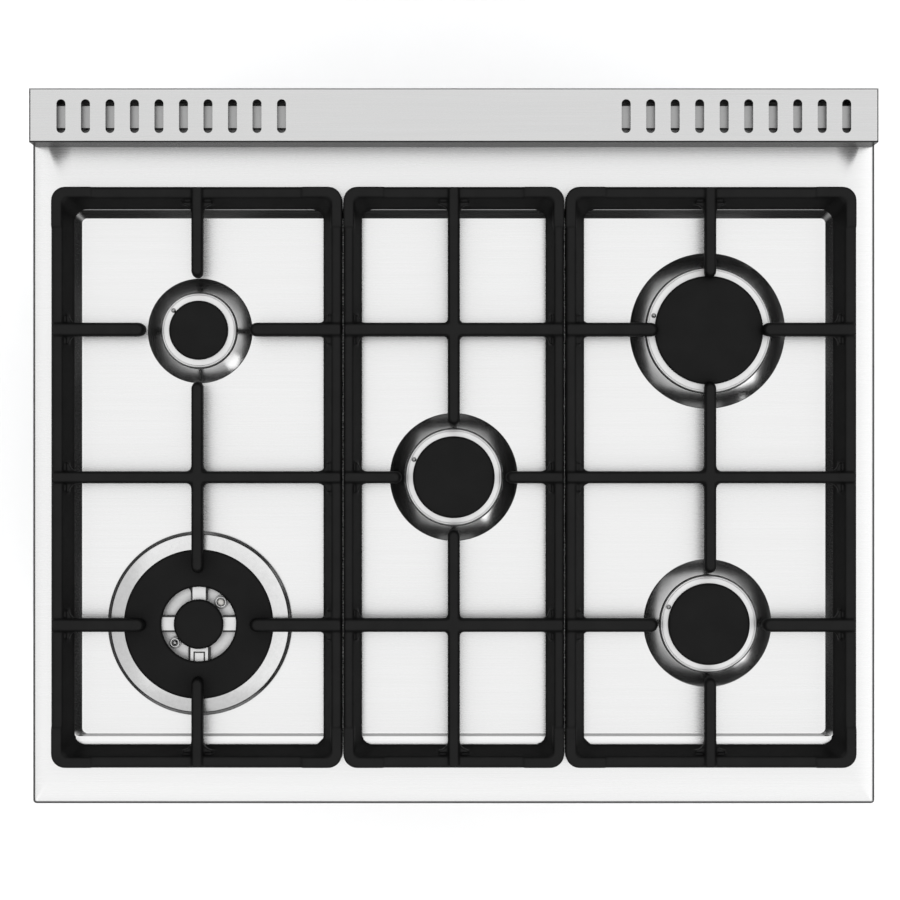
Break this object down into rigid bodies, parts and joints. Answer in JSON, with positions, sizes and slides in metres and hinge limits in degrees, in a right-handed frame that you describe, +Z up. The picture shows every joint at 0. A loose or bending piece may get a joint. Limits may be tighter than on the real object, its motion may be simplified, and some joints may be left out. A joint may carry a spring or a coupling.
{
  "type": "freestanding gas range",
  "caption": "Floor-standing gas cooker with a pressed steel hob, burners under cast grates, turning knobs, a drop-down oven door and a storage drawer.",
  "frame": {"origin": "on the floor plane under the middle of the hob", "axes": "+Z up, the front with the door and knobs faces -Y, +X to the right of a person who stands in front"},
  "size_m": [0.762, 0.642, 0.972],
  "materials": {
    "steel": "fine horizontal brushing",
    "knob_metal": "turned and satin",
    "cast_iron": "matt black enamel on cast iron",
    "cap_enamel": "semi-matt black enamel",
    "cast_aluminium": "as cast, machined on top",
    "polished_steel": "polished",
    "satin_steel": "satin",
    "pin_ceramic": "glazed ceramic with a steel tip",
    "body_paint": "semi-gloss grey paint",
    "galvanised": "galvanised sheet",
    "oven_enamel": "speckled dark enamel",
    "burner_steel": "aluminised steel",
    "rack_chrome": "chrome plated wire",
    "door_glass": "dark tempered glass",
    "gasket_fibre": "braided glass fibre",
    "valve_brass": "machined",
    "inlet_plastic": "moulded"
  },
  "bodies": {
    "chassis": {"back_panel": "galvanised", "base_frame": "galvanised", "broil_burner": "burner_steel", "burner_cups": "cast_aluminium", "burner_rings": "polished_steel", "control_panel": "steel", "dish_wok": "satin_steel", "door_gasket": "gasket_fibre", "door_hinge_arms": "galvanised", "drawer_runners": "galvanised", "front_frame": "galvanised", "gas_manifold": "burner_steel", "gas_valves": "valve_brass", "head_aux": "cast_aluminium", "head_centre": "cast_aluminium", "head_right_back": "cast_aluminium", "head_right_front": "cast_aluminium", "head_wok": "cast_aluminium", "hob_top": "steel", "knob_bezels": "knob_metal", "levelling_feet": "galvanised", "oven_burner": "burner_steel", "oven_cavity": "oven_enamel", "oven_floor_plate": "oven_enamel", "power_inlet": "inlet_plastic", "rack_guides": "rack_chrome", "side_panel_left": "body_paint", "side_panel_right": "body_paint", "spark_and_sensor_pins": "pin_ceramic", "vent_deflector": "satin_steel", "vent_trim": "steel"},
    "door": {"door_outer_panel": "steel", "door_outer_glass": "door_glass", "door_inner_glass": "door_glass", "door_inner_panel": "oven_enamel", "door_handle": "steel"},
    "drawer": {"drawer_front": "steel", "drawer_box": "galvanised"},
    "oven_rack_lower": {"oven_rack_lower": "rack_chrome"},
    "oven_rack_upper": {"oven_rack_upper": "rack_chrome"},
    "grate_centre": {"grate_centre": "cast_iron"},
    "grate_left": {"grate_left": "cast_iron"},
    "grate_right": {"grate_right": "cast_iron"},
    "cap_aux": {"cap_aux": "cap_enamel"},
    "cap_centre": {"cap_centre": "cap_enamel"},
    "cap_right_back": {"cap_right_back": "cap_enamel"},
    "cap_right_front": {"cap_right_front": "cap_enamel"},
    "cap_wok_inner": {"cap_wok_inner": "cap_enamel"},
    "cap_wok_outer": {"cap_wok_outer": "cap_enamel"},
    "valve_stem_centre": {"valve_stem_centre": "valve_brass"},
    "knob_centre": {"knob_centre": "knob_metal"},
    "valve_stem_left_back": {"valve_stem_left_back": "valve_brass"},
    "knob_left_back": {"knob_left_back": "knob_metal"},
    "valve_stem_left_front": {"valve_stem_left_front": "valve_brass"},
    "knob_left_front": {"knob_left_front": "knob_metal"},
    "valve_stem_right_back": {"valve_stem_right_back": "valve_brass"},
    "knob_right_back": {"knob_right_back": "knob_metal"},
    "valve_stem_right_front": {"valve_stem_right_front": "valve_brass"},
    "knob_right_front": {"knob_right_front": "knob_metal"},
    "knob_oven": {"knob_oven": "knob_metal"}
  },
  "joints": [
    {"name": "door_hinge", "type": "hinge", "parent": "chassis", "child": "door", "pos_m": [0, -0.256, 0.231], "axis": [1, 0, 0], "range_deg": [0, 90]},
    {"name": "drawer_slide", "type": "slide", "parent": "chassis", "child": "drawer", "axis": [0, -1, 0], "range_m": [0, 0.38]},
    {"name": "rack_lower_slide", "type": "slide", "parent": "chassis", "child": "oven_rack_lower", "axis": [0, -1, 0], "range_m": [0, 0.018]},
    {"name": "rack_upper_slide", "type": "slide", "parent": "chassis", "child": "oven_rack_upper", "axis": [0, -1, 0], "range_m": [0, 0.018]},
    {"name": "grate_centre_lift", "type": "slide", "parent": "chassis", "child": "grate_centre", "axis": [0, 0, 1], "range_m": [0, 0.15]},
    {"name": "grate_left_lift", "type": "slide", "parent": "chassis", "child": "grate_left", "axis": [0, 0, 1], "range_m": [0, 0.15]},
    {"name": "grate_right_lift", "type": "slide", "parent": "chassis", "child": "grate_right", "axis": [0, 0, 1], "range_m": [0, 0.15]},
    {"name": "cap_aux_lift", "type": "slide", "parent": "chassis", "child": "cap_aux", "axis": [0, 0, 1], "range_m": [0, 0.06]},
    {"name": "cap_centre_lift", "type": "slide", "parent": "chassis", "child": "cap_centre", "axis": [0, 0, 1], "range_m": [0, 0.06]},
    {"name": "cap_right_back_lift", "type": "slide", "parent": "chassis", "child": "cap_right_back", "axis": [0, 0, 1], "range_m": [0, 0.003]},
    {"name": "cap_right_front_lift", "type": "slide", "parent": "chassis", "child": "cap_right_front", "axis": [0, 0, 1], "range_m": [0, 0.06]},
    {"name": "cap_wok_inner_lift", "type": "slide", "parent": "chassis", "child": "cap_wok_inner", "axis": [0, 0, 1], "range_m": [0, 0.06]},
    {"name": "cap_wok_outer_lift", "type": "slide", "parent": "chassis", "child": "cap_wok_outer", "axis": [0, 0, 1], "range_m": [0, 0.003]},
    {"name": "knob_centre_push", "type": "slide", "parent": "chassis", "child": "valve_stem_centre", "axis": [0, 1, 0], "range_m": [0, 0.004], "stiffness_N_per_m": 600, "springref_m": -0.002},
    {"name": "knob_centre_turn", "type": "hinge", "parent": "valve_stem_centre", "child": "knob_centre", "pos_m": [0.055, -0.29, 0.822], "axis": [0, -1, 0], "range_deg": [0, 210]},
    {"name": "knob_left_back_push", "type": "slide", "parent": "chassis", "child": "valve_stem_left_back", "axis": [0, 1, 0], "range_m": [0, 0.004], "stiffness_N_per_m": 600, "springref_m": -0.002},
    {"name": "knob_left_back_turn", "type": "hinge", "parent": "valve_stem_left_back", "child": "knob_left_back", "pos_m": [-0.165, -0.29, 0.822], "axis": [0, -1, 0], "range_deg": [0, 210]},
    {"name": "knob_left_front_push", "type": "slide", "parent": "chassis", "child": "valve_stem_left_front", "axis": [0, 1, 0], "range_m": [0, 0.004], "stiffness_N_per_m": 600, "springref_m": -0.002},
    {"name": "knob_left_front_turn", "type": "hinge", "parent": "valve_stem_left_front", "child": "knob_left_front", "pos_m": [-0.275, -0.29, 0.822], "axis": [0, -1, 0], "range_deg": [0, 210]},
    {"name": "knob_right_back_push", "type": "slide", "parent": "chassis", "child": "valve_stem_right_back", "axis": [0, 1, 0], "range_m": [0, 0.004], "stiffness_N_per_m": 600, "springref_m": -0.002},
    {"name": "knob_right_back_turn", "type": "hinge", "parent": "valve_stem_right_back", "child": "knob_right_back", "pos_m": [0.165, -0.29, 0.822], "axis": [0, -1, 0], "range_deg": [0, 210]},
    {"name": "knob_right_front_push", "type": "slide", "parent": "chassis", "child": "valve_stem_right_front", "axis": [0, 1, 0], "range_m": [0, 0.004], "stiffness_N_per_m": 600, "springref_m": -0.002},
    {"name": "knob_right_front_turn", "type": "hinge", "parent": "valve_stem_right_front", "child": "knob_right_front", "pos_m": [0.275, -0.29, 0.822], "axis": [0, -1, 0], "range_deg": [0, 210]},
    {"name": "knob_oven_turn", "type": "hinge", "parent": "chassis", "child": "knob_oven", "pos_m": [-0.055, -0.29, 0.822], "axis": [0, 1, 0], "range_deg": [0, 290]}
  ]
}
